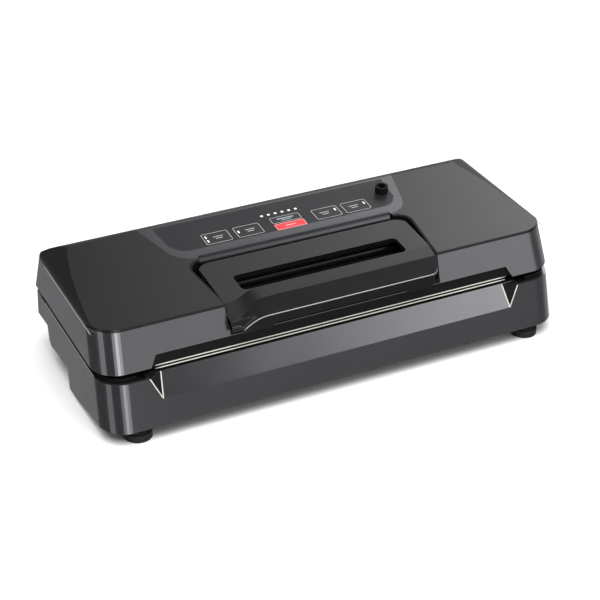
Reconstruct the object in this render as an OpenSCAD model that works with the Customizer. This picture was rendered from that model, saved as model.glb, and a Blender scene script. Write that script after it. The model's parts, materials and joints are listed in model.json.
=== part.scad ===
// Household vacuum sealer: a long low base, a lid hinged along the back, and a latch
// handle that lies in a pocket of the lid. Origin: centre of the footprint, on the table.
// +X to the right, +Y to the back, +Z up. All lengths are millimetres.

/* [Body] */
// Overall length
body_w = 400; // [390:1:410]
// Half depth of the base at its foot
base_half_d = 86.8; // [86:0.2:88]
// Plan radius of the front corners
corner_r = 22; // [18:1:24]
// Plan radius of the back corners
back_r = 6; // [5:0.5:8]
// Wall thickness of the painted shells
wall = 2.5; // [2:0.1:3]
// Height of the top edge of the base
base_top = 49.6; // [49.4:0.1:49.8]
// Height of the lower edge of the lid
lid_low = 56.2; // [56:0.1:56.4]

/* [Feet] */
// Radius of a rubber foot
foot_r = 11; // [9:0.5:12]
// Height of a rubber foot
foot_h = 8; // [7:0.5:8]

/* [Lid] */
// Tilt of the lid's top, falling to the front, in degrees
top_tilt = 3.56; // [3.5:0.01:3.6]
// Height of the top plane above y = 0
top_z0 = 92.34; // [92.2:0.02:92.5]
// Thickness of the two black top covers
cover_t = 2.2; // [1.8:0.1:2.4]

/* [Handle] */
// Height of the latch shaft's axis
shaft_z = 78; // [77.5:0.1:78.5]
// Depth position of the latch shaft's axis
shaft_y = -22; // [-22.5:0.1:-21.5]
// Radius of the latch shaft
shaft_r = 4; // [3.5:0.1:4]
// Half length of the finger slot
slot_half = 72; // [66:1:74]

/* [Keys] */
// Width of a side key
key_w = 23; // [20:0.5:24]
// Depth of a side key
key_d = 16; // [14:0.5:17]
// Gap between a key and the panel around it
key_gap = 0.35; // [0.3:0.05:0.5]

/* [Hose port] */
// Bore radius of the accessory hose port
port_bore_r = 3.75; // [3:0.25:4]
// Outer radius of the hose port
port_r = 5.5; // [5.5:0.1:6]

/* [Hidden] */
$fn = 48;
half_w = body_w / 2;
tub_half = 184;
base_low = 10.8;
base_front_low = -base_half_d;
base_front_lean = 0.2243;
base_side_lean = 0.038;
lid_front_low = -74.4;
lid_front_lean = 0.3901;
lid_back_low = 84.9;
lid_back_lean = 0.303;
crown_y = 61;
crown_depth = 16.8;
crown_height = 20;
lid_half = half_w - 0.6;
lid_side_lean = 0.085;
roll_from = 165;
roll_top = 96.9;
roll_drop = 16;
hinge_y = 83.5;
hinge_z = 52.9;
hinge_x = 130;
hook_x = 172;
deck_top = 49.5;
liner_low = 56.4;
liner_top = 58.9;
run_gap = 0.04;
key_mid_y = 27.5;
port_x = 95.5;
port_y = 39.5;

// ---------- helpers ----------

// Points of an arc about (cx, cy)
function arc(cx, cy, r, a0, a1, n = 10) =
    [for (i = [0:n]) let (a = a0 + (a1 - a0) * i / n) [cx + r * cos(a), cy + r * sin(a)]];

// Mirror image of a right-hand outline, in reverse order, to close a symmetric outline
function mirrored(pts) =
    [for (i = [len(pts) - 1:-1:0]) [-pts[i][0], pts[i][1]]];

// Rounded rectangle, symmetric in x
module rounded(hx, y0, y1, r, rb = 0)
    let (b = rb > 0 ? rb : r)
    polygon(concat(arc(hx - b, y1 - b, b, 90, 0), arc(hx - r, y0 + r, r, 0, -90),
        arc(-hx + r, y0 + r, r, -90, -180), arc(-hx + b, y1 - b, b, 180, 90)));

// Outline drawn in (y, z), pushed along X from x0 to x1
module along_x(x0, x1)
    translate([x0, 0, 0]) rotate([90, 0, 90]) linear_extrude(x1 - x0) children();

// Outline drawn in (x, z), pushed along Y from y0 to y1
module along_y(y0, y1)
    translate([0, y1, 0]) rotate([90, 0, 0]) linear_extrude(y1 - y0) children();

// Outline drawn in plan, pushed up from z0 to z1
module along_z(z0, z1)
    translate([0, 0, z0]) linear_extrude(z1 - z0) children();

// Box from its lowest to its highest corner
module block(lo, hi)
    translate(lo) cube([hi[0] - lo[0], hi[1] - lo[1], hi[2] - lo[2]]);

// The lid's tilted top frame: x, distance back, height above the top plane
module on_top()
    translate([0, 0, top_z0]) rotate([top_tilt, 0, 0]) children();

// The same piece at the left and at the right
module both_sides()
    for (s = [-1, 1]) mirror([s < 0 ? 1 : 0, 0, 0]) children();

// Cylinder along X
module rod(x0, x1, y, z, r)
    translate([x0, y, z]) rotate([0, 90, 0]) cylinder(h = x1 - x0, r = r);

// Straight tube from point a to point b
module pipe(a, b, r)
    translate(a) rotate([0, acos((b - a)[2] / norm(b - a)), atan2((b - a)[1], (b - a)[0])])
        cylinder(h = norm(b - a), r = r);

// ---------- base ----------

// Side view of the base's skirt; its lower edge waves along the sides
function base_side() = [
    [-95, base_low], [-66, base_low], [-58, 10.2], [-13, 2.6], [4, 2], [8, 19.3],
    [50, 15.3], [54, 19], [57.7, 30.3], [95, 28.4], [95, base_top], [-95, base_top]];

// Column with a rounded left front corner: its level outline, moved inward by g, is pushed
// along a line that leans back by face_lean and to the right by side_lean per mm of height
module leaning_corner(hx, r, g, face_lean, side_lean)
    let (a = atan(face_lean), b = atan(side_lean * cos(a)), q = max(r - g, 0.5),
        outline = concat([[-hx + g, 400]], arc(-hx + g + q, g + q, q, 180, 270, 16),
            [[400, g], [400, 400]]))
    rotate([-a, 0, 0]) rotate([0, b, 0]) along_z(-70, 200)
        polygon([for (p = outline) [p[0] * cos(b) - p[1] * sin(b) * sin(a), p[1] * cos(a)]]);

// Both front corners, or with the leans of the back both back corners after a mirror
module corner_pair(hx, r, g, face_lean, side_lean)
    intersection() {
        leaning_corner(hx, r, g, face_lean, side_lean);
        mirror([1, 0, 0]) leaning_corner(hx, r, g, face_lean, side_lean);
    }

// Everything inside the base's skin, moved inward by g. The corner columns stand 0.04
// outside the flat faces so that each face comes from one solid only
module base_envelope(g, low, top)
    intersection() {
        translate([0, base_front_low - 0.04, base_low])
            corner_pair(half_w - base_side_lean * base_low + 0.04, corner_r, g, base_front_lean,
                base_side_lean);
        translate([0, base_half_d + 0.04, base_low]) mirror([0, 1, 0])
            corner_pair(half_w - base_side_lean * base_low + 0.04, back_r, g, 0, base_side_lean);
        along_x(-half_w, half_w) polygon([[base_front_at(low) + g, low],
            [base_front_at(top) + g, top], [base_half_d - g, top], [base_half_d - g, low]]);
        along_y(-90, 90) polygon([[-base_side_at(low) + g, low], [base_side_at(low) - g, low],
            [base_side_at(top) - g, top], [-base_side_at(top) + g, top]]);
    }

// Front face and side face of the base at the height z
function base_front_at(z) = base_front_low + base_front_lean * (z - base_low);
function base_side_at(z) = half_w - base_side_lean * z;

// Skirt of the base: its lower edge waves along the sides
module base_skirt_profile()
    along_x(-half_w, half_w) polygon(base_side());

// Wedge cut into the base's front under the bag opening, grown by g
module base_recess(g)
    intersection() {
        along_x(-170, 170) polygon([[-90, 32 - 1.6 * g], [-82.1, 32 - 1.6 * g],
            [-71 + 1.2 * g, 49.6], [-71 + 1.2 * g, 60], [-90, 60]]);
        along_y(-95, -60) polygon([[-152.6 - g, 32 - 1.6 * g], [152.6 + g, 32 - 1.6 * g],
            [161 + g, base_top], [161 + g, 60], [-161 - g, 60], [-161 - g, base_top]]);
    }

module base_shell()
    color("dimgray") difference() {
        union() {
            intersection() {
                difference() {
                    base_envelope(0, 0, base_top);
                    base_envelope(wall, -5, base_top + 5);
                }
                base_skirt_profile();
            }
            intersection() {
                base_envelope(0, 0, base_top);
                base_recess(wall);
            }
        }
        base_recess(0);
        block([139.8, 80, 31.3], [162.2, 90, 44.7]);
    }

module bottom_tub()
    color("black") difference() {
        intersection() {
            along_z(8, 46) rounded(tub_half, -83.2, 80, 12);
            along_x(-tub_half, tub_half)
                polygon([[-83.2, 8], [-79.4, 26], [-66, 46], [80, 46], [80, 8]]);
        }
        intersection() {
            along_z(10.5, 50) rounded(tub_half - 2, -81, 78, 10);
            along_x(-tub_half, tub_half)
                polygon([[-81, 10.5], [-77.1, 25], [-63, 46], [-63, 50], [78, 50], [78, 10.5]]);
        }
        for (i = [0:9]) block([60 + 7 * i, 25, 7], [63 + 7 * i, 62, 12]);
        block([139.8, 70, 31.3], [162.2, 90, 44.7]);
        for (p = post_spots()) translate([p[0], p[1], 7]) cylinder(h = 10, r = 1.5);
        for (p = post_spots()) translate([p[0], p[1], 7]) cylinder(h = 2.6, r = 3.2);
    }

module rubber_feet()
    color("black") both_sides() for (y = [-75.6, 66])
        translate([172, y, 0]) {
            cylinder(h = foot_h - 2, r = foot_r);
            translate([0, 0, foot_h - 2]) cylinder(h = 2, r = foot_r - 2);
        }

// Screw posts between the tub and the deck
function post_spots() = [[168, 55], [-160, 70], [160, -57], [-160, -57], [30, 72], [0, -57]];

// Outline of the black deck inside the painted shell
module deck_outline(g)
    difference() {
        rounded(195 - g, -74 + g, 80 - g, corner_r - 4 - g, max(back_r - g, 1));
        translate([-164.5 - g, -90]) square([329 + 2 * g, 22.8 + g]);
    }

module base_deck()
    color("black") difference() {
        union() {
            along_z(46.5, deck_top) deck_outline(0);
            along_z(36, 47) rounded(150, -44, 9, 8);
            along_z(48, 52.7) difference() {
                deck_outline(0);
                deck_outline(2);
                translate([-170, -90]) square([340, 30]);
            }
            for (p = post_spots()) translate([p[0], p[1], 10.5]) cylinder(h = 37, r = 3.8);
        }
        along_z(38, 60) rounded(148, -42, 7, 6);
        guide_zone();
        for (p = post_spots()) translate([p[0], p[1], 9]) cylinder(h = 22, r = 1.5);
        translate([60, -5, 30]) cylinder(h = 20, r = 2.5);
    }

// Notch at each end of the deck that holds a latch guide
module guide_zone()
    both_sides() block([158, -46, 30], [200, 4, 60]);

// Plates with a slot for each latch hook, let into the ends of the deck
module latch_guides()
    color("black") difference() {
        intersection() {
            union() {
                along_z(46.5, deck_top) deck_outline(0);
                along_z(48, 52.7) difference() {
                    deck_outline(0);
                    deck_outline(2);
                }
            }
            guide_zone();
        }
        both_sides() block([hook_x - 6, -38, 30], [hook_x + 6, -6, 60]);
    }

module gasket_ring(z0, z1)
    along_z(z0, z1) difference() {
        rounded(158.5, -50, 15, 14);
        rounded(153.5, -45, 10, 9);
    }

module lower_gasket() color("darkslategray") gasket_ring(deck_top, 53);

module heat_bar_insulator() color("saddlebrown") block([-155, -62, deck_top], [155, -52, 51.8]);

module heating_strip() color("silver") block([-153, -59, 51.8], [153, -55, 52]);

module ptfe_tape() color("burlywood") block([-154, -61.5, 52], [154, -52.5, 52.15]);

module latch_catches()
    color("gray") both_sides() difference() {
        block([hook_x - 6, -13, 44.8], [hook_x + 6, -6, deck_top]);
        block([hook_x - 3, -9.5, 47], [hook_x + 3, -7, 60]);
    }

module hinge_brackets()
    color("silver") both_sides() difference() {
        union() {
            block([hinge_x - 20, 80, 45], [hinge_x - 10.3, hinge_y + 0.7, hinge_z]);
            block([hinge_x + 10.3, 80, 45], [hinge_x + 20, hinge_y + 0.7, hinge_z]);
            block([hinge_x - 20, 80, 45], [hinge_x + 20, hinge_y + 0.7, 49.4]);
            rod(hinge_x - 20, hinge_x - 10.3, hinge_y, hinge_z, 3);
            rod(hinge_x + 10.3, hinge_x + 20, hinge_y, hinge_z, 3);
        }
        rod(hinge_x - 21, hinge_x + 21, hinge_y, hinge_z, 1.5);
    }

module hinge_pins()
    color("gainsboro") both_sides() rod(hinge_x - 20, hinge_x + 20, hinge_y, hinge_z, 1.5);

module power_inlet()
    color("black") difference() {
        block([140, 62, 31.5], [162, base_half_d, 44.5]);
        intersection() {
            block([142, 70, 33.5], [160, 90, 42.5]);
            union() {
                block([146.5, 60, 33.5], [155.5, 90, 42.5]);
                translate([146.5, 60, 38]) rotate([-90, 0, 0]) cylinder(h = 40, r = 4.5);
                translate([155.5, 60, 38]) rotate([-90, 0, 0]) cylinder(h = 40, r = 4.5);
            }
        }
    }

module inlet_pins()
    color("silver") for (dx = [-4.6, 4.6])
        translate([151 + dx, 70, 38]) rotate([-90, 0, 0]) cylinder(h = 12, r = 1.1);

module transformer()
    color("slategray") {
        block([88, 28, 11], [132, 62, 17]);
        block([88, 28, 17], [96, 62, 38]);
        block([124, 28, 17], [132, 62, 38]);
        block([88, 28, 38], [132, 62, 44]);
        block([96, 25, 17], [124, 65, 38]);
        block([84, 35, 10.5], [136, 55, 11]);
    }

module main_board()
    color("green") difference() {
        block([-172, 16, 14], [-84, 62, 15.6]);
        for (x = [-168, -88]) for (y = [20, 58]) translate([x, y, 13]) cylinder(h = 4, r = 1.6);
    }

module board_parts()
    color("goldenrod") {
        for (x = [-168, -88]) for (y = [20, 58]) translate([x, y, 10.5]) cylinder(h = 3.5, r = 3);
        block([-162, 38, 15.6], [-145, 53, 30]);
        block([-141, 38, 15.6], [-124, 53, 30]);
        block([-108, 22, 15.6], [-92, 38, 19]);
        for (x = [-160, -146, -132]) translate([x, 28, 15.6]) cylinder(h = 16, r = 5);
        for (i = [0:4]) block([-118 + 5 * i, 54, 15.6], [-115 + 5 * i, 60, 22]);
    }

pump_y = 45;
pump_z = 28;

module pump_motor()
    color("lightgray") difference() {
        union() {
            rod(-66, -26, pump_y, pump_z, 13.8);
            rod(-69, -66, pump_y, pump_z, 5);
            rod(-26, -24, pump_y, pump_z, 5);
        }
        rod(-38, -20, pump_y, pump_z, 1.5 + run_gap);
    }

module pump_rotor()
    color("gold") {
        rod(-37, -8.5, pump_y, pump_z, 1.5);
        rod(-19, -12, pump_y + 2, pump_z, 6);
    }

module pump_head()
    color("dimgray") difference() {
        union() {
            block([-23.5, 32, 14.2], [-5, 59, 41.5]);
            translate([-14.25, 59, pump_z]) rotate([-90, 0, 0]) cylinder(h = 13, r = 13);
        }
        rod(-22, -6.5, pump_y, pump_z, 10.5);
        rod(-25, -20, pump_y, pump_z, 5.3);
        translate([-14.25, 50, pump_z]) rotate([-90, 0, 0]) cylinder(h = 20, r = 6);
        translate([-14.25, 64, pump_z]) rotate([-90, 0, 0]) cylinder(h = 6, r = 11);
    }

module pump_diaphragm()
    color("black") {
        translate([-14.25, 65, pump_z]) rotate([-90, 0, 0]) cylinder(h = 2, r = 11);
        translate([-14.25, 56.6, pump_z]) rotate([-90, 0, 0]) cylinder(h = 9, r = 3);
    }

module pump_bracket()
    color("silver") {
        block([-72, 32, 12.5], [-5, 59, 14.2]);
        difference() {
            block([-64, 29, 12.5], [-62, 61, 26]);
            rod(-70, -20, pump_y, pump_z, 13.8);
        }
        difference() {
            block([-36, 29, 12.5], [-34, 61, 26]);
            rod(-70, -20, pump_y, pump_z, 13.8);
        }
    }

module pump_grommets()
    color("black") for (x = [-68, -10]) for (y = [36, 55])
        translate([x, y, 10.5]) cylinder(h = 2, r = 4);

// Silicone air line: pump outlet to the trough's suction hole, with a branch to the valve
// and one to the sensor; moulded elbows join the straight lengths
module air_tubes()
    color("lightgray") {
        pipe([-1.2, 66, 28], [6, 66, 28], 3);
        translate([7, 65.4, 28]) sphere(r = 3.8);
        pipe([7, 65.4, 28], [48, 20, 31], 2.4);
        translate([48, 20, 31]) sphere(r = 3.8);
        pipe([48, 20, 31], [60, -5, 27], 2.4);
        translate([60, -5, 27]) sphere(r = 3.8);
        pipe([60, -5, 27], [60, -5, 36], 2.4);
        pipe([48, 20, 31], [71, 34, 24], 2.4);
        pipe([71, 33, 24], [71, 36.5, 24], 3.4);
        pipe([48, 20, 31], [-78, 26, 18], 1.8);
        pipe([-78, 25, 18], [-78, 30.5, 18], 2.6);
    }

module release_valve()
    color("steelblue") {
        block([62, 40, 12], [80, 62, 30]);
        translate([71, 36.5, 24]) rotate([-90, 0, 0]) cylinder(h = 3.5, r = 3);
        block([60, 42, 10.5], [82, 60, 12]);
    }

module pressure_sensor()
    color("darkslateblue") {
        block([-82, 34, 15.6], [-74, 44, 21]);
        translate([-78, 30.6, 18]) rotate([-90, 0, 0]) cylinder(h = 3.4, r = 1.8);
        block([-83, 33, 10.5], [-73, 46, 15.6]);
    }

module microswitches()
    color("black") both_sides() difference() {
        block([hook_x - 3, -7, 37], [hook_x + 3, 6, 44]);
        block([hook_x - 1.3, -8, 39.4], [hook_x + 1.3, -4.6, 43]);
    }

module plunger(x)
    block([x - 1, -10.3, 39.7], [x + 1, -5.8, 42.7]);

module switch_plunger_left() color("red") plunger(-hook_x);

module switch_plunger_right() color("red") plunger(hook_x);

module base_screws()
    color("silver") for (p = post_spots()) translate([p[0], p[1], 8.2]) {
        cylinder(h = 14, r = 1.5);
        difference() {
            cylinder(h = 1.4, r = 3);
            translate([-0.5, -2, -1]) cube([1, 4, 1.6]);
            translate([-2, -0.5, -1]) cube([4, 1, 1.6]);
        }
    }

// ---------- lid ----------

// Height of the lid's top plane, lowered by d, at the distance y
function top_at(y, d) = top_z0 + tan(top_tilt) * y - d;

// Side view of the lid, moved inward by g at front and back and lowered by d on top. The top
// turns down to the back wall along a quarter of an ellipse
function lid_side(g, d, low) =
    let (front = lid_front_low + g, back = lid_back_low - g, k = tan(top_tilt),
        zf = (top_z0 - d + k * (front - lid_front_lean * lid_low)) / (1 - k * lid_front_lean),
        crown = [for (a = [0:11:66]) [crown_y + (crown_depth - g) * sin(a),
            top_at(crown_y, d) - crown_height * (1 - cos(a))]],
        foot = crown[6][1] - 0.3)
    concat([[front + lid_front_lean * (low - lid_low), low],
        [front + lid_front_lean * (zf - lid_low), zf]], crown,
        [[back - lid_back_lean * (foot - lid_low), foot],
        [back - lid_back_lean * (low - lid_low), low]]);

// Front view of the lid: its top rolls down to both ends, lowered by d
function roll_side(g, d) =
    let (right = [for (a = [0:7.5:90]) [roll_from + (half_w - g - roll_from) * sin(a),
        roll_top - d - roll_drop * (1 - cos(a))]])
    concat([[-half_w + g, 40]], mirrored(right), right, [[half_w - g, 40]]);

// Side face of the lid at the height z
function lid_side_at(z) = lid_half - lid_side_lean * (z - lid_low);

// Everything inside the lid's skin, moved inward by g and lowered by d on top
module lid_envelope(g, d, low)
    intersection() {
        translate([0, lid_front_low - 0.04, lid_low])
            corner_pair(lid_half + 0.04, corner_r, g, lid_front_lean, lid_side_lean);
        translate([0, lid_back_low + 0.04, lid_low]) mirror([0, 1, 0])
            corner_pair(lid_half + 0.04, back_r, g, lid_back_lean, lid_side_lean);
        along_x(-half_w, half_w) polygon(lid_side(g, d, low));
        along_y(-120, 120) polygon(roll_side(g, d));
        along_y(-120, 120) polygon([[-lid_side_at(low) + g, low], [lid_side_at(low) - g, low],
            [lid_side_at(110) - g, 110], [-lid_side_at(110) + g, 110]]);
    }

// Outline of the control bezel, seen from above
module bezel_outline()
    polygon(let (right = concat([[122.6, 85]], arc(84.6, 27.5, 22, -16, -90)))
        concat(right, mirrored(right)));

// Outline of the handle pocket, moved inward by g; it runs out at the front
module pocket_outline(g)
    polygon(let (right = concat([[90.3 - g, -82]], arc(86.8 - g, -9, 12, -6.8, 90)),
        lowered = [for (p = right) [p[0], p[1] > -10 ? p[1] - g : p[1]]])
        concat(lowered, mirrored(lowered)));

// The pocket's prism above the height z0
module pocket_prism(g, z0)
    along_z(z0, 110) pocket_outline(g);

module lid_skirt()
    color("dimgray") difference() {
        union() {
            difference() {
                lid_envelope(0, cover_t, lid_low);
                lid_envelope(wall, cover_t + 2, lid_low - 1);
            }
            for (p = lid_post_spots()) translate([p[0], p[1], liner_top])
                cylinder(h = p[2] - liner_top, r = 3.4);
        }
        pocket_prism(0, 65.3);
        on_top() along_z(-12, 10) translate([-106, 12]) square([212, 46]);
        on_top() along_z(-12, 10) translate([-88, 0]) square([176, 14]);
        along_y(-90, -60) polygon([[-158, 50], [-158, lid_low], [-152.8, 65], [152.8, 65],
            [158, lid_low], [158, 50]]);
        for (p = lid_post_spots()) translate([p[0], p[1], 50]) cylinder(h = 18, r = 1.3);
    }

// Lid screw posts: x, y and the height they reach
function lid_post_spots() = [[184, 55, 91], [-184, 55, 91], [184, -50, 86], [-184, -50, 86],
    [60, 67, 90], [-60, 67, 90]];

// The lid's outermost skin, from which the two covers and the bezel are cut
module top_skin()
    difference() {
        lid_envelope(0, 0, 83.5);
        lid_envelope(-0.5, cover_t, 70);
    }

// Black top cover, both halves together
module covers()
    difference() {
        top_skin();
        on_top() along_z(-20, 10) bezel_outline();
        on_top() along_z(-12, 10) translate([-86.8, 2]) square([173.6, 5]);
        pocket_prism(0, 60);
    }

// The left half of the covers
module left_half_cover()
    intersection() {
        covers();
        block([-half_w, -90, 50], [0, 90, 110]);
    }

module cover_left() color("black") left_half_cover();

module cover_right() color("black") mirror([1, 0, 0]) left_half_cover();

// Outline of the printed panel
module overlay_outline()
    polygon(let (right = concat([[105, 59]], [[101.6, 27]], arc(86.6, 31.4, 14, -12, -90)))
        concat(right, mirrored(right)));

// Keys: x, y, width, depth
function key_spots() = [[-60.9, key_mid_y, key_w, key_d], [-32.9, key_mid_y, key_w, key_d],
    [2.6, 32.6, 26.6, 9.4], [2.6, 22.2, 26.6, 9.4],
    [37.9, key_mid_y, key_w, key_d], [64.9, key_mid_y, key_w, key_d]];

module key_plan(k, g)
    translate([k[0], k[1]]) square([k[2] + 2 * g, k[3] + 2 * g], center = true);

module led_spots(r)
    for (i = [0:5]) translate([-14.2 + 6.16 * i, 43.2]) circle(r = r);

module control_bezel()
    color("dimgray") difference() {
        union() {
            intersection() {
                top_skin();
                on_top() along_z(-20, 10) difference() {
                    bezel_outline();
                    translate([-86, 0]) square([172, 10]);
                }
            }
            on_top() along_x(-86, 86) polygon(concat(arc(10, -7, 6.9, 90, 180),
                arc(10, -7, 6.9 - cover_t, 180, 90)));
        }
        on_top() {
            along_z(-0.6, 5) overlay_outline();
            for (k = key_spots()) along_z(-5, 5) key_plan(k, key_gap);
            along_z(-5, 5) led_spots(1.3);
            translate([port_x, port_y, -10]) cylinder(h = 20, r = port_r);
        }
    }

module control_overlay()
    color("darkslategray") on_top() difference() {
        along_z(-0.6, -0.1) overlay_outline();
        for (k = key_spots()) along_z(-5, 5) key_plan(k, key_gap);
        along_z(-5, 5) led_spots(1.3);
        translate([port_x, port_y, -10]) cylinder(h = 20, r = port_r);
    }

// One key: a flush cap, a retaining flange under the panel and a stem over its dome
module key_piece(i)
    on_top() {
        k = key_spots()[i];
        along_z(-3.1, 0) key_plan(k, 0);
        along_z(-3.1, -2.5) translate([k[0], k[1]]) square([k[2] + 1.6, k[3]], center = true);
        translate([k[0], k[1], -4.5]) cylinder(h = 1.4, r = 2);
    }

module key_vacuum() color("dimgray") key_piece(0);
module key_pulse() color("dimgray") key_piece(1);
module key_start() color("dimgray") key_piece(2);
module key_stop() color("red") key_piece(3);
module key_mode() color("dimgray") key_piece(4);
module key_seal() color("dimgray") key_piece(5);

module led_lenses()
    color("white") on_top() along_z(-6.3, -0.05) led_spots(1.25);

module key_board()
    color("green") on_top() difference() {
        along_z(-8, -6.4) translate([-88, 14.5]) square([170, 40]);
        translate([port_x, port_y, -12]) cylinder(h = 10, r = 8);
    }

module tact_domes()
    color("silver") on_top() for (k = key_spots())
        translate([k[0], k[1], -6.4]) cylinder(h = 1.2, r = 3.5);

module hose_port()
    color("black") on_top() translate([port_x, port_y, 0]) difference() {
        union() {
            translate([0, 0, -14]) cylinder(h = 20, r = port_r);
            translate([0, 0, -5]) cylinder(h = 1.5, r = 9);
            translate([0, 0, -20]) cylinder(h = 6, r = 3);
        }
        translate([0, 0, -12]) cylinder(h = 30, r = port_bore_r);
        translate([0, 0, -25]) cylinder(h = 20, r = 1.5);
    }

module hose_tube()
    color("lightgray") difference() {
        union() {
            pipe([port_x, 40.8, 73], [port_x, 41, 66], 4);
            translate([port_x, 41, 66]) sphere(r = 5);
            pipe([port_x, 41, 66], [126, 4, 64], 3.2);
            translate([126, 4, 64]) sphere(r = 4.4);
            pipe([126, 4, liner_top], [126, 4, 64], 3.2);
        }
        on_top() translate([port_x, port_y, -22]) cylinder(h = 16, r = 3);
        block([80, 0, 50], [140, 60, liner_top]);
    }

module handle_pocket()
    color("black") difference() {
        intersection() {
            lid_envelope(0, 0.3, lid_low);
            pocket_prism(0, 65.5);
        }
        pocket_prism(1.6, 68.5);
        on_top() along_z(-7.1, 10) translate([-86.8, -2]) square([173.6, 8]);
        rod(-110, 110, shaft_y, shaft_z, shaft_r + 1);
    }

module shaft_bearings()
    color("gray") both_sides() difference() {
        union() {
            for (x = [102, 156]) {
                block([x, shaft_y - 6, liner_top], [x + 7, shaft_y + 6, shaft_z]);
                rod(x, x + 7, shaft_y, shaft_z, 6);
            }
        }
        rod(90, 190, shaft_y, shaft_z, shaft_r + run_gap);
    }

// Outline of the lid's inner panel
module liner_outline(g)
    rounded(196 - g, -67.5 + g, 79 - g, corner_r - 4 - g, max(back_r - g, 1));

module lid_liner()
    color("black") difference() {
        union() {
            along_z(liner_low, liner_top) liner_outline(0);
            along_z(53.3, liner_low + 1) difference() {
                liner_outline(0);
                liner_outline(2);
                translate([-158, -90]) square([316, 30]);
            }
            along_y(-69.4, -66.5) polygon([[-152.3, 51.4], [152.3, 51.4], [157.4, lid_low],
                [152.3, 64.8], [-152.3, 64.8], [-157.4, lid_low]]);
        }
        both_sides() block([hook_x - 7, -42, 45], [hook_x + 7, -9, 70]);
        for (p = lid_post_spots()) translate([p[0], p[1], 50]) cylinder(h = 18, r = 1.3);
        translate([126, 4, 50]) cylinder(h = 20, r = 2);
    }

module upper_gasket() color("darkslategray") gasket_ring(53.3, liner_low);

module pressure_strip()
    color("firebrick") {
        block([-155, -62, 54], [155, -52, liner_low]);
        block([-154, -60, 52.7], [154, -54, 54]);
    }

module seal_trim()
    color("wheat") for (z = [52, 54.3])
        block([-154, -70.3, z], [154, -69.4, z + 0.7]);

module lid_knuckles()
    color("silver") both_sides() difference() {
        union() {
            rod(hinge_x - 10, hinge_x + 10, hinge_y, hinge_z, 3);
            block([hinge_x - 10, 79, hinge_z], [hinge_x + 10, 81.8, 57.3]);
            block([hinge_x - 10, 80.5, 52], [hinge_x + 10, hinge_y, hinge_z + 1]);
        }
        rod(hinge_x - 21, hinge_x + 21, hinge_y, hinge_z, 1.5 + run_gap);
    }

module lid_screws()
    color("silver") for (p = lid_post_spots()) translate([p[0], p[1], 0]) {
        translate([0, 0, liner_low - 1.6]) cylinder(h = 1.6, r = 3);
        translate([0, 0, liner_low]) cylinder(h = 10, r = 1.3);
    }

// ---------- handle ----------

// Outline of the handle, seen from above
module handle_outline(g)
    polygon(let (right = concat(arc(80.6, -17.2, 13.6 - g, 90, 0),
        [[93.4 - g, -36], [91.6 - g, -50], [90.6 - g, -62]],
        arc(77.8 - g, -64 + g, 12.6, 0, -90)))
        concat(right, mirrored(right)));

// Finger slot, seen from above
module slot_outline(g)
    rounded(slot_half - g, -50 + g, -28.5 - g, 4);

module handle_shell()
    color("black") difference() {
        union() {
            intersection() {
                along_z(60, 100) handle_outline(0);
                along_x(-98, 98) polygon([[0, 91.7], [-50, 88.7], [-63.5, 87], [-75.2, 77.8],
                    [-76.5, 67], [-75, 67], [-73.4, 77.6], [-63, 84.7], [-51, 85.7], [0, 88.7]]);
            }
            intersection() {
                along_z(60, 100) handle_outline(0);
                along_x(-98, 98)
                    polygon([[-50.05, 88.7], [-52.3, 88.7], [-52.3, 77.8], [-50.05, 77.8]]);
            }
            both_sides() intersection() {
                along_z(60, 100) handle_outline(0);
                along_x(87.4, 98) polygon([[-50, 88], [-63.5, 86.8], [-74.9, 77.8], [-75.4, 75.4],
                    [-50, 75.4]]);
            }
        }
        along_z(60, 110) slot_outline(0);
        block([-57, -90, 60], [57, -70, 70.4]);
        both_sides() block([84, -90, 60], [100, -70, 70.4]);
    }

module handle_backing()
    color("darkslategray") difference() {
        union() {
            along_x(-87.2, 87.2) polygon([[-50, 77.6], [-71.5, 77.6], [-73, 75.4], [-50, 75.4]]);
            difference() {
                intersection() {
                    along_z(60, 100) handle_outline(2);
                    along_x(-98, 98) polygon([[-5, 88.3], [-50, 85.65], [-50, 83.6], [-5, 86.2]]);
                }
                along_z(60, 110) slot_outline(-1);
            }
            both_sides() {
                block([75, -50, 76.5], [86, -47, 84.5]);
                rod(75, 86, shaft_y, shaft_z, 6.5);
                block([75, shaft_y - 3, shaft_z], [86, shaft_y + 3, 85.6]);
            }
        }
        rod(-100, 100, shaft_y, shaft_z, shaft_r);
        both_sides() for (y = [-40, -10]) translate([81, y, 60]) cylinder(h = 40, r = 1.2);
    }

module handle_screws()
    color("silver") both_sides() for (p = [[-40, 84.2], [-10, 85.9]])
        translate([81, p[0], p[1] - 1.5]) {
            cylinder(h = 1.4, r = 2.4);
            cylinder(h = 3.6, r = 1.2);
        }

module latch_shaft() color("gray") rod(-178, 178, shaft_y, shaft_z, shaft_r);

module latch_hooks()
    color("silver") both_sides() difference() {
        union() {
            rod(hook_x - 4, hook_x + 4, shaft_y, shaft_z, 6);
            block([hook_x - 4, -25, 39.5], [hook_x + 4, -19, shaft_z - 4.6]);
            block([hook_x - 4, -20, 39.5], [hook_x + 4, -15, 43]);
        }
        rod(hook_x - 5, hook_x + 5, shaft_y, shaft_z, shaft_r);
    }

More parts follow.
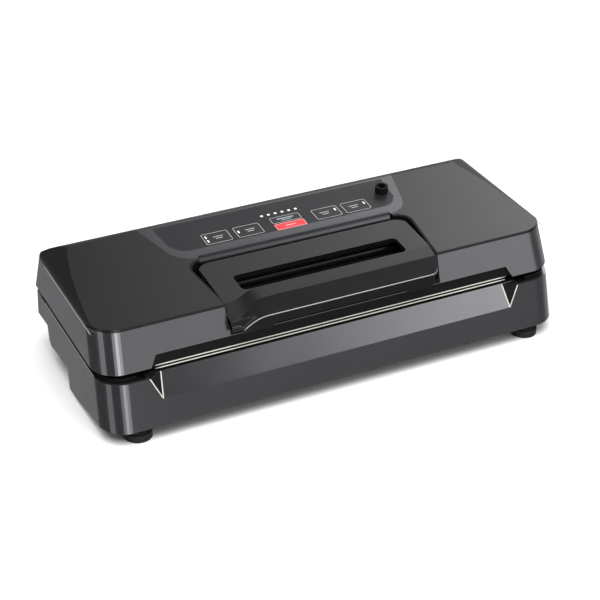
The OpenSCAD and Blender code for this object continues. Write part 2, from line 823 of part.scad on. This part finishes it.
base_shell();
bottom_tub();
rubber_feet();
base_deck();
latch_guides();
lower_gasket();
heat_bar_insulator();
heating_strip();
ptfe_tape();
latch_catches();
hinge_brackets();
hinge_pins();
power_inlet();
inlet_pins();
transformer();
main_board();
board_parts();
pump_motor();
pump_rotor();
pump_head();
pump_diaphragm();
pump_bracket();
pump_grommets();
air_tubes();
release_valve();
pressure_sensor();
microswitches();
switch_plunger_left();
switch_plunger_right();
base_screws();
lid_skirt();
cover_left();
cover_right();
control_bezel();
control_overlay();
key_vacuum();
key_pulse();
key_start();
key_stop();
key_mode();
key_seal();
led_lenses();
key_board();
tact_domes();
hose_port();
hose_tube();
handle_pocket();
shaft_bearings();
lid_liner();
upper_gasket();
pressure_strip();
seal_trim();
lid_knuckles();
lid_screws();
handle_shell();
handle_backing();
handle_screws();
latch_shaft();
latch_hooks();
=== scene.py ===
"""Looks for the household vacuum sealer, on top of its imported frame."""
import json
import math

import bmesh
import bpy
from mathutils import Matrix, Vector


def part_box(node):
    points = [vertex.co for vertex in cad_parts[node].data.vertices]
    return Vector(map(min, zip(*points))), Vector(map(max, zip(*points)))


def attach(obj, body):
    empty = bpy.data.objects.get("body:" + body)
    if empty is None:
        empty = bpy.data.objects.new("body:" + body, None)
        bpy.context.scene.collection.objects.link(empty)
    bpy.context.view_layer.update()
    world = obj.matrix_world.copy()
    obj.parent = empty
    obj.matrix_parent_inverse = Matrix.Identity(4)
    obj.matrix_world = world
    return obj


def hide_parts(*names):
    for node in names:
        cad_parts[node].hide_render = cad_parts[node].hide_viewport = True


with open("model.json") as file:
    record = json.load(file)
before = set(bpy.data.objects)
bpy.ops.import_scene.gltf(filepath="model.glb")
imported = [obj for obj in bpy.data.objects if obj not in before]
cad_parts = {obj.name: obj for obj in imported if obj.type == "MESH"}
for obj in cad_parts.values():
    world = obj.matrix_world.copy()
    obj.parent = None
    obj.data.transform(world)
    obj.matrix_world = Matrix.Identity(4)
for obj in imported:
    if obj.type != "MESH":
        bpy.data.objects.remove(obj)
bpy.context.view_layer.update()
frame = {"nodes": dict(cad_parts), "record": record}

NODES = frame["nodes"]
MM = 0.001
TILT = math.radians(3.56)        # the lid's top falls to the front
TOP_Z0 = 92.34                   # height of the top plane above y = 0, in mm
RECESS_FOOT_X = 152.6            # half width of the bag recess at its lower edge, in mm
RECESS_TOP_X = 161.0             # half width of the bag recess at the base's top, in mm
KEY_ROW_Y = 27.5                 # depth of the side keys' middle in the top frame, in mm


# ---------- materials ----------

def new_material(name):
    """An empty node material with its shader, and handy makers for nodes and links."""
    mat = bpy.data.materials.new(name)
    mat.use_nodes = True
    tree = mat.node_tree
    shader = tree.nodes["Principled BSDF"]
    return mat, tree, shader


def noise_at(tree, size_mm, detail=2.0, stretch=(1, 1, 1)):
    """Noise whose grain is size_mm across, in the object's own space."""
    coord = tree.nodes.new("ShaderNodeTexCoord")
    mapping = tree.nodes.new("ShaderNodeMapping")
    mapping.inputs["Scale"].default_value = stretch
    noise = tree.nodes.new("ShaderNodeTexNoise")
    noise.inputs["Scale"].default_value = 1.0 / (size_mm * MM)
    noise.inputs["Detail"].default_value = detail
    tree.links.new(coord.outputs["Object"], mapping.inputs["Vector"])
    tree.links.new(mapping.outputs["Vector"], noise.inputs["Vector"])
    return noise.outputs["Fac"]


def spread(tree, value, low, high):
    """Maps a 0.3 to 0.7 noise value onto low to high."""
    node = tree.nodes.new("ShaderNodeMapRange")
    node.inputs["From Min"].default_value = 0.3
    node.inputs["From Max"].default_value = 0.7
    node.inputs["To Min"].default_value = low
    node.inputs["To Max"].default_value = high
    tree.links.new(value, node.inputs["Value"])
    return node.outputs["Result"]


def edge_mask(tree, radius_mm):
    """1 on outer edges narrower than the radius, 0 on open faces."""
    bevel = tree.nodes.new("ShaderNodeBevel")
    bevel.samples = 4
    bevel.inputs["Radius"].default_value = radius_mm * MM
    geometry = tree.nodes.new("ShaderNodeNewGeometry")
    dot = tree.nodes.new("ShaderNodeVectorMath")
    dot.operation = "DOT_PRODUCT"
    tree.links.new(bevel.outputs["Normal"], dot.inputs[0])
    tree.links.new(geometry.outputs["Normal"], dot.inputs[1])
    ramp = tree.nodes.new("ShaderNodeMapRange")
    ramp.inputs["From Min"].default_value = 0.97
    ramp.inputs["From Max"].default_value = 0.8
    tree.links.new(dot.outputs["Value"], ramp.inputs["Value"])
    return ramp.outputs["Result"]


def finish_material(name, color, rough, metallic=0.0, grain=0.6, vary=0.12, rough_vary=0.05,
                    bump=0.02, coat=0.0, coat_rough=0.1, edge_highlight=0.0, stretch=(1, 1, 1),
                    specular=0.5):
    """A surface with fine grain, patchy roughness and a painted highlight that lightens its edges.
    """
    mat, tree, shader = new_material(name)
    links = tree.links
    fine = noise_at(tree, grain, 3.0, stretch)
    patch = noise_at(tree, 45.0, 2.0)
    mix = tree.nodes.new("ShaderNodeMix")
    mix.data_type = "RGBA"
    mix.inputs["A"].default_value = [*(c * (1 - vary) for c in color), 1]
    mix.inputs["B"].default_value = [*(min(1, c * (1 + vary)) for c in color), 1]
    links.new(spread(tree, fine, 0, 1), mix.inputs["Factor"])
    tint = mix.outputs["Result"]
    # Painted highlight: edges picked out by the bevel mask are mixed toward a lighter copy of the
    # colour.
    if edge_highlight > 0:
        highlight_mix = tree.nodes.new("ShaderNodeMix")
        highlight_mix.data_type = "RGBA"
        strength = tree.nodes.new("ShaderNodeMath")
        strength.operation = "MULTIPLY"
        strength.inputs[1].default_value = edge_highlight
        links.new(edge_mask(tree, 0.5), strength.inputs[0])
        links.new(strength.outputs["Value"], highlight_mix.inputs["Factor"])
        links.new(tint, highlight_mix.inputs["A"])
        highlight_mix.inputs["B"].default_value = [*(min(1, c * 2.2 + 0.12) for c in color), 1]
        tint = highlight_mix.outputs["Result"]
    links.new(tint, shader.inputs["Base Color"])
    links.new(spread(tree, patch, rough - rough_vary, rough + rough_vary),
              shader.inputs["Roughness"])
    relief = tree.nodes.new("ShaderNodeBump")
    relief.inputs["Strength"].default_value = 0.5
    relief.inputs["Distance"].default_value = bump * MM
    links.new(fine, relief.inputs["Height"])
    links.new(relief.outputs["Normal"], shader.inputs["Normal"])
    shader.inputs["Metallic"].default_value = metallic
    shader.inputs["Coat Weight"].default_value = coat
    shader.inputs["Coat Roughness"].default_value = coat_rough
    shader.inputs["Specular IOR Level"].default_value = specular
    return mat


# edge_highlight sets how strongly each finish paints a lighter highlight on its edges.
MATERIALS = {
    "gunmetal_paint": finish_material("gunmetal_paint", (0.29, 0.29, 0.305), 0.2, 0.95,
                                      grain=0.35, vary=0.1, rough_vary=0.03, bump=0.0003,
                                      edge_highlight=0.25),
    "bezel_paint": finish_material("bezel_paint", (0.15, 0.15, 0.16), 0.24, 0.95, grain=0.35,
                                   vary=0.12, rough_vary=0.03, bump=0.0008, edge_highlight=0.3),
    "black_cover": finish_material("black_cover", (0.010, 0.010, 0.011), 0.2, grain=0.5,
                                   bump=0.001, rough_vary=0.03, edge_highlight=0.1),
    "handle_black": finish_material("handle_black", (0.008, 0.008, 0.009), 0.26, grain=0.4,
                                    bump=0.003, edge_highlight=0.35),
    "edge_glint": finish_material("edge_glint", (0.42, 0.42, 0.43), 0.35, 0.2, grain=0.4),
    "inner_black": finish_material("inner_black", (0.006, 0.006, 0.006), 0.6, grain=0.5,
                                   bump=0.02, specular=0.3),
    "panel_film": finish_material("panel_film", (0.014, 0.014, 0.016), 0.38, grain=0.4,
                                  bump=0.004, specular=0.35),
    "key_dark": finish_material("key_dark", (0.017, 0.017, 0.019), 0.36, grain=0.4,
                                bump=0.004, specular=0.35),
    "key_red": finish_material("key_red", (0.62, 0.035, 0.045), 0.36, grain=0.5, vary=0.05,
                               bump=0.004),
    "led_white": finish_material("led_white", (0.85, 0.85, 0.83), 0.3, vary=0.03),
    "print_grey": finish_material("print_grey", (0.5, 0.5, 0.5), 0.4, vary=0.04),
    "print_blue": finish_material("print_blue", (0.28, 0.34, 0.42), 0.4, vary=0.04),
    "black_rubber": finish_material("black_rubber", (0.016, 0.016, 0.016), 0.75, grain=0.7,
                                    bump=0.03),
    "red_silicone": finish_material("red_silicone", (0.28, 0.035, 0.03), 0.6, grain=0.6,
                                    bump=0.02),
    "silicone_tube": finish_material("silicone_tube", (0.62, 0.62, 0.58), 0.4, vary=0.05),
    "steel": finish_material("steel", (0.5, 0.5, 0.5), 0.3, 1.0, grain=0.3, vary=0.1,
                             stretch=(0.1, 1, 1)),
    "dark_steel": finish_material("dark_steel", (0.05, 0.05, 0.055), 0.35, 0.9, grain=0.3),
    "motor_metal": finish_material("motor_metal", (0.42, 0.42, 0.42), 0.32, 1.0, grain=0.3,
                                   stretch=(0.1, 1, 1)),
    "brass": finish_material("brass", (0.62, 0.45, 0.2), 0.28, 1.0, grain=0.3),
    "grey_plastic": finish_material("grey_plastic", (0.14, 0.14, 0.14), 0.5),
    "board_green": finish_material("board_green", (0.02, 0.14, 0.06), 0.4, grain=1.2),
    "board_part": finish_material("board_part", (0.03, 0.05, 0.13), 0.45, grain=1.0),
    "insulator_brown": finish_material("insulator_brown", (0.13, 0.06, 0.03), 0.6, grain=0.8),
    "heater_metal": finish_material("heater_metal", (0.6, 0.56, 0.5), 0.35, 1.0),
    "ptfe_tan": finish_material("ptfe_tan", (0.4, 0.24, 0.12), 0.5, grain=0.9, vary=0.25,
                                bump=0.05),
    # cream_trim: a light cream finish; on the seal-strip and recess beads it paints highlights.
    "cream_trim": finish_material("cream_trim", (0.88, 0.85, 0.78), 0.3, 0.2, grain=0.4,
                                  vary=0.06, bump=0.004),
    "valve_body": finish_material("valve_body", (0.03, 0.07, 0.18), 0.45),
    "plunger_red": finish_material("plunger_red", (0.45, 0.02, 0.02), 0.35),
}
SLOT_OF = {s["node"]: s["material_slot"] for s in frame["record"]["subparts"]}


def wear_finish(obj, slot_name):
    """Gives the object one material by its slot's name."""
    obj.data.materials.clear()
    obj.data.materials.append(MATERIALS[slot_name])


def soften(obj, width_mm, angle=28, segments=3):
    """Rounds the object's hard edges and keeps its flat faces flat."""
    for polygon in obj.data.polygons:
        polygon.use_smooth = True
    bevel = obj.modifiers.new("edge_round", "BEVEL")
    bevel.width = width_mm * MM
    bevel.segments = segments
    bevel.limit_method = "ANGLE"
    bevel.angle_limit = math.radians(angle)
    bevel.use_clamp_overlap = True
    bevel.harden_normals = False
    normals = obj.modifiers.new("even_normals", "WEIGHTED_NORMAL")
    normals.keep_sharp = False


def dress_cad():
    """Every CAD node keeps its shape and gets its finish and softened edges."""
    edge_mm = {"lid_skirt": 0.7, "base_shell": 0.7, "cover_left": 0.6, "cover_right": 0.6,
               "rubber_feet": 1.0, "handle_pocket": 0.5, "handle_shell": 1.0,
               "control_bezel": 0.4, "bottom_tub": 0.8, "hose_port": 0.5}
    for name, obj in NODES.items():
        wear_finish(obj, "bezel_paint" if name == "control_bezel" else SLOT_OF[name])
        soften(obj, edge_mm.get(name, 0.2))


dress_cad()


# ---------- mesh helpers ----------

def mesh_object(name, verts, faces, body, slot_name):
    """A new piece from plain vertices in mm and faces, riding on a body."""
    mesh = bpy.data.meshes.new(name)
    mesh.from_pydata([tuple(c * MM for c in v) for v in verts], [], faces)
    mesh.update()
    bm = bmesh.new()
    bm.from_mesh(mesh)
    bmesh.ops.recalc_face_normals(bm, faces=bm.faces)
    bm.to_mesh(mesh)
    bm.free()
    obj = bpy.data.objects.new(name, mesh)
    bpy.context.scene.collection.objects.link(obj)
    wear_finish(obj, slot_name)
    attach(obj, body)
    return obj


def loft(rings, closed_ends=True):
    """Vertices and faces of a skin over equal rings of points."""
    count = len(rings[0])
    verts = [p for ring in rings for p in ring]
    faces = []
    for i in range(len(rings) - 1):
        for j in range(count):
            k = (j + 1) % count
            faces.append((i * count + j, i * count + k, (i + 1) * count + k, (i + 1) * count + j))
    if closed_ends:
        faces.append(tuple(range(count))[::-1])
        faces.append(tuple((len(rings) - 1) * count + j for j in range(count)))
    return verts, faces


def arc_points(cx, cy, r, a0, a1, steps):
    """Points of an arc, angles in degrees."""
    out = []
    for i in range(steps + 1):
        a = math.radians(a0 + (a1 - a0) * i / steps)
        out.append((cx + r * math.cos(a), cy + r * math.sin(a)))
    return out


def rounded_rect(x0, x1, y0, y1, r, steps=6):
    """Outline of a rectangle with round corners, anticlockwise."""
    return (arc_points(x1 - r, y1 - r, r, 0, 90, steps)
            + arc_points(x0 + r, y1 - r, r, 90, 180, steps)
            + arc_points(x0 + r, y0 + r, r, 180, 270, steps)
            + arc_points(x1 - r, y0 + r, r, 270, 360, steps))


def filleted(corners, radii, steps=5):
    """A closed outline with each corner rounded to its own radius."""
    out = []
    total = len(corners)
    for i, (corner, r) in enumerate(zip(corners, radii)):
        here = Vector(corner)
        to_last = Vector(corners[i - 1]) - here
        to_next = Vector(corners[(i + 1) % total]) - here
        half = to_last.angle(to_next) / 2
        reach = min(r / math.tan(half), to_last.length * 0.45, to_next.length * 0.45)
        start = here + to_last.normalized() * reach
        end = here + to_next.normalized() * reach
        for k in range(steps + 1):
            t = k / steps
            out.append(start * (1 - t) ** 2 + here * 2 * t * (1 - t) + end * t ** 2)
    return out


def on_top(x, y, n):
    """A point given in the lid's tilted top frame: x, distance back, height above the plane."""
    return (x, y * math.cos(TILT) - n * math.sin(TILT),
            TOP_Z0 + y * math.sin(TILT) + n * math.cos(TILT))


def cut(obj, cutter, operation="DIFFERENCE"):
    """Cuts a piece with another mesh, which is then thrown away."""
    step = obj.modifiers.new("cut", "BOOLEAN")
    step.operation = operation
    step.solver = "EXACT"
    step.object = cutter
    depsgraph = bpy.context.evaluated_depsgraph_get()
    result = bpy.data.meshes.new_from_object(obj.evaluated_get(depsgraph))
    obj.modifiers.clear()
    old = obj.data
    obj.data = result
    bpy.data.meshes.remove(old)
    bpy.data.objects.remove(cutter)


def prism(outline, z0, z1):
    """A temporary cutter: a plan outline pushed from z0 to z1."""
    verts, faces = loft([[(x, y, z) for x, y in outline] for z in (z0, z1)])
    mesh = bpy.data.meshes.new("cutter")
    mesh.from_pydata([tuple(c * MM for c in v) for v in verts], [], faces)
    bm = bmesh.new()
    bm.from_mesh(mesh)
    bmesh.ops.recalc_face_normals(bm, faces=bm.faces)
    bm.to_mesh(mesh)
    bm.free()
    obj = bpy.data.objects.new("cutter", mesh)
    bpy.context.scene.collection.objects.link(obj)
    return obj


def bead(name, path, radius, body, slot_name):
    """A slim round bar in mm along a path, narrower at its two ends."""
    points = [Vector(p) for p in path]
    rings = []
    for i, point in enumerate(points):
        ahead = points[min(i + 1, len(points) - 1)] - points[max(i - 1, 0)]
        turn = ahead.to_track_quat("Y", "Z")
        r = radius * (0.5 if i in (0, len(points) - 1) else 1.0)
        ring = [turn @ Vector((px, 0, pz)) for px, pz in arc_points(0, 0, r, 0, 324, 9)]
        rings.append([tuple(point + p) for p in ring])
    verts, faces = loft(rings)
    bar = mesh_object(name, verts, faces, body, slot_name)
    for polygon in bar.data.polygons:
        polygon.use_smooth = True
    return bar


def edge_bead(name, start, end, radius, body, slot_name):
    """A straight bead from start to end."""
    start, end = Vector(start), Vector(end)
    path = [start.lerp(end, t) for t in (0, 0.02, 0.5, 0.98, 1)]
    return bead(name, path, radius, body, slot_name)


def smooth_step(t):
    """0 to 1 with soft ends."""
    t = max(0.0, min(1.0, t))
    return t * t * (3 - 2 * t)


# ---------- handle ----------

def plate_z(y, drop=0.3):
    """Height of the handle's flat plate at the depth y."""
    return TOP_Z0 + math.tan(TILT) * y - drop


def handle_section(x):
    """The handle's outline across its length at x, as (depth, height) points."""
    left = smooth_step((-60 - x) / 32.0)
    crease = -50 - 12.0 * left
    ridge_y = -63.2 - 8.0 * smooth_step((-60 - x) / 28.0)
    ridge_z = 86.8 - 8.0 * smooth_step((-60 - x) / 28.0)
    low_z = lip_height(x)
    foot = 70.5 - 3.3 * smooth_step((abs(x) - 54) / 6.0) + 3.2 * smooth_step((abs(x) - 82) / 3.0)
    corners = [(-3, plate_z(-3)), (crease, plate_z(crease)), (ridge_y, ridge_z),
               (-75.2, low_z), (-76.2, foot), (-75.1, foot), (-74.8, foot + 1.5),
               (-73.3, 77.8), (-50.1, 77.8), (-50.1, 85.9), (-3, 88.7)]
    if low_z < foot + 2.2:
        corners[3] = (-75.2, foot + 2.2)
    radii = [1.0, 0.9, 2.0, 1.0, 0.5, 0.5, 0.5, 0.6, 0.5, 0.5, 0.5]
    return filleted(corners, radii)


def handle_plan():
    """The handle's outline from above."""
    right = (arc_points(80.6, -17.2, 13.5, 90, 0, 12) + [(93.4, -36), (91.6, -50), (90.6, -62)]
             + arc_points(77.8, -63.6, 12.6, 0, -90, 10))
    return right + [(-x, y) for x, y in reversed(right)]


def lip_height(x):
    """Height of the bar's lower front edge; it dips at the left end."""
    drop = max(0.0, min(1.0, (-62 - x) / 22.0))
    return 77.8 - 9.5 * drop * drop


def make_lip_highlight():
    """A painted highlight: a light bead that runs along the lower edge of the bar and round its
    ends.
    """
    right_arc = arc_points(77.8, -63.4, 12.6, 0, -90, 8)
    left_arc = [(-x, y) for x, y in reversed(right_arc) if x < 84.5]
    middle = [(74 - 4 * i, -76) for i in range(38)]
    path = [(x, max(y, -75.45), lip_height(x)) for x, y in right_arc + middle + left_arc]
    bead("lip_highlight_bead", path, 0.4, "handle", "edge_glint")


def make_seal_trim():
    """Two thin light lines in the bag opening, in place of the plain CAD strips; they paint the
    highlights along the ribs of the seal strip.
    """
    for word, height in (("lower", 52.1), ("upper", 54.8)):
        line = edge_bead("seal_trim_" + word, (-153.8, -69.95, height), (153.8, -69.95, height),
                         0.42, "lid", "cream_trim")
        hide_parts("seal_trim")


def make_side_highlights():
    """Painted highlights along both ends, on the lid under its covers and on the base's top: light
    beads in place of edge reflections.
    """
    for side, word in ((-1, "left"), (1, "right")):
        edge_bead("lid_highlight_" + word, (side * 197.0, -54, 84.9), (side * 197.0, 58, 84.9), 0.35,
                  "lid", "edge_glint")
        edge_bead("base_highlight_" + word, (side * 197.9, -58, 49.4), (side * 197.9, 62, 49.4), 0.3,
                  "base", "edge_glint")


def make_handle():
    """The black latch handle: a plate with a finger slot and a bar that overhangs the front."""
    stations = [-92 + i * 1.0 for i in range(42)] + [-50 + 4 * i for i in range(25)]
    stations += [50.5 + i for i in range(13)] + [66 + 2 * i for i in range(14)]
    rings = [[(x, p.x, p.y) for p in handle_section(x)] for x in stations]
    verts, faces = loft(rings)
    handle = mesh_object("handle_skin", verts, faces, "handle", "handle_black")
    cut(handle, prism(handle_plan(), 50, 110), "INTERSECT")
    cut(handle, prism(rounded_rect(-72, 72, -50.1, -28.5, 4.0), 50, 110))
    wear_finish(handle, "handle_black")
    soften(handle, 0.5, 35, 2)
    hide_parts("handle_shell")


# ---------- key panel print ----------

def print_frame(name, x0, x1, y0, y1, body, slot_name="led_white", line=0.4, corner=1.6, level=0.0):
    """A thin printed outline on the panel or on a key."""
    outer = rounded_rect(x0, x1, y0, y1, corner)
    inner = rounded_rect(x0 + line, x1 - line, y0 + line, y1 - line, corner - line)
    count = len(outer)
    verts = []
    for n in (level + 0.005, level + 0.03):
        verts += [on_top(x, y, n) for x, y in outer]
        verts += [on_top(x, y, n) for x, y in inner]
    faces = []
    for j in range(count):
        k = (j + 1) % count
        faces.append((j, k, count + k, count + j))
        faces.append((2 * count + j, 3 * count + j, 3 * count + k, 2 * count + k))
        faces.append((j, 2 * count + j, 2 * count + k, k))
        faces.append((count + j, count + k, 3 * count + k, 3 * count + j))
    return mesh_object(name, verts, faces, body, slot_name)


def print_mark(name, x, y, w, d, body, slot_name="led_white", level=0.0, corner=0.2):
    """A small printed or lit mark, centred at x, y."""
    outline = rounded_rect(x - w / 2, x + w / 2, y - d / 2, y + d / 2, corner, 3)
    verts, faces = loft([[on_top(px, py, n) for px, py in outline]
                         for n in (level + 0.005, level + 0.035)])
    return mesh_object(name, verts, faces, body, slot_name)


def key_box(node):
    """A key cap's middle in x and its half width, in mm, from its packed box.

    The box also holds the retaining flange, which is 0.8 mm wider on each side.
    """
    low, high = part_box(node)
    x = (low.x + high.x) / 2 / MM
    half_w = (high.x - low.x) / 2 / MM - 0.8
    return x, half_w


def make_key_print():
    """Outlines, status lights and plain marks on the keys."""
    for node, lights in (("key_vacuum", [(-8.6, 3.0), (-8.6, -3.0)]), ("key_pulse", [(-8.6, 0.5)]),
                         ("key_mode", [(8.6, 2.0)]), ("key_seal", [(8.6, 2.0)])):
        x, half = key_box(node)
        print_frame(node + "_outline", x - half + 0.1, x + half - 0.1, KEY_ROW_Y - 7.9,
                    KEY_ROW_Y + 7.9, node, "print_grey")
        for i, (dx, dy) in enumerate(lights):
            print_mark(f"{node}_light_{i}", x + dx, KEY_ROW_Y + dy, 1.3, 3.6, node)
        shift = 1.6 if lights[0][0] < 0 else -1.6
        print_mark(node + "_mark_a", x + shift, KEY_ROW_Y + 1.4, 8.5, 0.7, node, "print_grey")
        print_mark(node + "_mark_b", x + shift, KEY_ROW_Y - 1.4, 6.0, 0.7, node, "print_grey")
    x, half = key_box("key_start")
    print_frame("key_start_outline", x - half + 0.1, x + half - 0.1, 28.1, 37.1, "key_start",
                "print_grey")
    print_mark("key_start_mark", x, 33.6, 15.0, 1.5, "key_start", "print_blue")
    print_mark("key_start_line", x, 31.0, 9.0, 0.6, "key_start", "print_grey")
    print_frame("key_stop_outline", x - half + 0.1, x + half - 0.1, 17.7, 26.7, "key_stop",
                "print_grey")
    print_mark("key_stop_mark", x, 22.2, 9.0, 0.9, "key_stop", "print_grey")


# ---------- bag recess ----------

def make_recess_cheeks():
    """The slanted ends of the bag recess: dark facets, with light beads along their edges as
    painted highlights on each side.
    """
    for side, word in ((-1, "left"), (1, "right")):
        foot = (side * RECESS_FOOT_X, -82.05, 32.1)
        outer = (side * RECESS_TOP_X, -78.2, 49.5)
        inner = (side * 149.8, -71.1, 49.5)
        corner = (side * RECESS_TOP_X, -70.9, 49.5)
        behind = (side * 153.4, -81.0, 32.0)
        verts = [foot, outer, inner, corner, behind]
        faces = [(0, 1, 2), (1, 3, 2), (0, 2, 4), (2, 3, 4), (0, 4, 1), (1, 4, 3)]
        cheek = mesh_object("recess_cheek_" + word, verts, faces, "base", "black_cover")
        soften(cheek, 0.15, 20, 2)
        # Painted highlights: light beads along the bevelled edges of each facet.
        edge_bead(f"recess_highlight_{word}_outer", foot, outer, 0.4, "base", "cream_trim")
        edge_bead(f"recess_highlight_{word}_inner", foot, inner, 0.55, "base", "cream_trim")


make_handle()
make_lip_highlight()
make_seal_trim()
make_recess_cheeks()
make_side_highlights()
make_key_print()


# ---------- floor, light and camera ----------

def make_floor():
    """Plain pale floor."""
    bm = bmesh.new()
    bmesh.ops.create_grid(bm, x_segments=2, y_segments=2, size=4.0)
    mesh = bpy.data.meshes.new("floor")
    bm.to_mesh(mesh)
    bm.free()
    floor = bpy.data.objects.new("floor", mesh)
    bpy.context.scene.collection.objects.link(floor)
    mat, tree, shader = new_material("floor_pale")
    shader.inputs["Base Color"].default_value = (0.93, 0.93, 0.93, 1)
    shader.inputs["Roughness"].default_value = 0.9
    shader.inputs["Specular IOR Level"].default_value = 0.1
    floor.data.materials.append(mat)
    floor.visible_glossy = False


def area_light(name, place, aim, size, power, glossy=True, size_y=None):
    """A rectangular softbox at place, facing aim; glossy says if reflections show it."""
    data = bpy.data.lights.new(name, "AREA")
    data.energy = power
    data.shape = "RECTANGLE"
    data.size = size
    data.size_y = size_y or size
    lamp = bpy.data.objects.new(name, data)
    lamp.location = place
    lamp.rotation_mode = "QUATERNION"
    lamp.rotation_quaternion = (Vector(aim) - Vector(place)).to_track_quat("-Z", "Y")
    lamp.visible_glossy = glossy
    bpy.context.scene.collection.objects.link(lamp)
    return lamp


# Brightness of the studio's walls in level bands, by compass angle in degrees: 0 is in front
# of the object, 90 to its right, 180 behind it. Narrow peaks are upright strip lamps.
LOW_BAND = [(-180, 0.3), (-155, 0.3), (-140, 0.08), (-82, 0.05), (-74, 0.5), (-64, 0.5),
            (-56, 0.04), (-24, 0.04), (-15, 1.3), (-5, 1.3), (3, 0.26), (17, 0.15), (36, 0.13),
            (46, 0.1), (75, 0.1), (100, 0.45), (130, 0.45), (148, 0.2), (162, 0.3), (180, 0.3)]
MID_BAND = [(-180, 0.32), (-155, 0.32), (-140, 0.08), (-82, 0.05), (-74, 0.8), (-64, 0.8),
            (-56, 0.04), (-24, 0.04), (-15, 2.2), (-6, 2.2), (3, 0.45), (17, 0.42), (36, 0.7),
            (45, 0.6), (54, 0.1), (75, 0.1), (100, 0.5), (130, 0.5), (148, 0.2), (162, 0.32),
            (180, 0.32)]
HIGH_BAND = [(-180, 0.05), (-120, 0.15), (-20, 0.12), (8, 0.01), (18, 0.01), (22, 0.08),
             (26, 0.66), (31, 1.3), (36, 1.5), (60, 1.3), (110, 1.0), (135, 2.2), (142, 2.1),
             (146, 1.5), (151, 0.85), (157, 0.6), (164, 0.18), (180, 0.05)]
UPPER_BAND = [(-180, 0.5), (-90, 0.5), (0, 0.15), (60, 0.6), (120, 0.7), (180, 0.5)]
TOP_BAND = [(-180, 0.1), (180, 0.1)]
BRIGHTEST = 2.4


def wall_band(tree, turn, stops):
    """Brightness around the studio from a list of (angle, brightness) stops."""
    ramp = tree.nodes.new("ShaderNodeValToRGB")
    marks = ramp.color_ramp.elements
    for k, (angle, value) in enumerate(stops):
        place = (angle + 180) / 360
        mark = marks[k] if k < 1 else marks[-1] if k == len(stops) - 1 else marks.new(place)
        mark.position = place
        level = value / BRIGHTEST
        mark.color = (level, level, level * 1.01, 1)
    tree.links.new(turn, ramp.inputs["Fac"])
    return ramp.outputs["Color"]


def fade(tree, value, low, high):
    """0 below low, 1 above high, soft between."""
    node = tree.nodes.new("ShaderNodeMapRange")
    node.interpolation_type = "SMOOTHSTEP"
    node.inputs["From Min"].default_value = low
    node.inputs["From Max"].default_value = high
    tree.links.new(value, node.inputs["Value"])
    return node.outputs["Result"]


def blend(tree, factor, below, above):
    """Mixes two colours by a factor."""
    node = tree.nodes.new("ShaderNodeMix")
    node.data_type = "RGBA"
    tree.links.new(factor, node.inputs["Factor"])
    tree.links.new(below, node.inputs["A"])
    tree.links.new(above, node.inputs["B"])
    return node.outputs["Result"]


def make_world():
    """Studio surround: dark walls with soft panels and two upright strip lamps."""
    world = bpy.data.worlds.new("studio")
    world.use_nodes = True
    tree = world.node_tree
    background = tree.nodes["Background"]
    coord = tree.nodes.new("ShaderNodeTexCoord")
    split = tree.nodes.new("ShaderNodeSeparateXYZ")
    tree.links.new(coord.outputs["Generated"], split.inputs["Vector"])
    flip = tree.nodes.new("ShaderNodeMath")
    flip.operation = "MULTIPLY"
    flip.inputs[1].default_value = -1.0
    tree.links.new(split.outputs["Y"], flip.inputs[0])
    around = tree.nodes.new("ShaderNodeMath")
    around.operation = "ARCTAN2"
    tree.links.new(split.outputs["X"], around.inputs[0])
    tree.links.new(flip.outputs["Value"], around.inputs[1])
    turn = tree.nodes.new("ShaderNodeMapRange")
    turn.inputs["From Min"].default_value = -math.pi
    turn.inputs["From Max"].default_value = math.pi
    tree.links.new(around.outputs["Value"], turn.inputs["Value"])
    low = wall_band(tree, turn.outputs["Result"], LOW_BAND)
    middle = wall_band(tree, turn.outputs["Result"], MID_BAND)
    high = wall_band(tree, turn.outputs["Result"], HIGH_BAND)
    color = blend(tree, fade(tree, split.outputs["Z"], -0.06, 0.1), low, middle)
    color = blend(tree, fade(tree, split.outputs["Z"], 0.22, 0.38), color, high)
    upper = wall_band(tree, turn.outputs["Result"], UPPER_BAND)
    top = wall_band(tree, turn.outputs["Result"], TOP_BAND)
    color = blend(tree, fade(tree, split.outputs["Z"], 0.67, 0.75), color, upper)
    color = blend(tree, fade(tree, split.outputs["Z"], 0.82, 0.9), color, top)
    tree.links.new(color, background.inputs["Color"])
    background.inputs["Strength"].default_value = BRIGHTEST
    bpy.context.scene.world = world


def make_camera():
    """The camera stands front left and looks down at the object."""
    data = bpy.data.cameras.new("camera")
    data.sensor_width = 36.0
    data.lens = 96.92
    data.dof.use_dof = False
    data.clip_end = 30
    camera = bpy.data.objects.new("camera", data)
    camera.location = (-0.4901, -1.0311, 0.7271)
    yaw = math.radians(25.44)
    pitch = math.radians(31.26)
    forward = Vector((math.sin(yaw) * math.cos(pitch), math.cos(yaw) * math.cos(pitch),
                      -math.sin(pitch)))
    camera.rotation_mode = "QUATERNION"
    camera.rotation_quaternion = forward.to_track_quat("-Z", "Y")
    bpy.context.scene.collection.objects.link(camera)
    bpy.context.scene.camera = camera


make_floor()
make_world()
area_light("key_above", (-0.3, -0.4, 2.2), (0, 0, 0), 2.4, 80, glossy=False)
area_light("fill_front", (0.8, -2.2, 0.9), (0, 0, 0.05), 1.2, 8, glossy=False)
make_camera()
bpy.context.scene.view_settings.view_transform = "Standard"
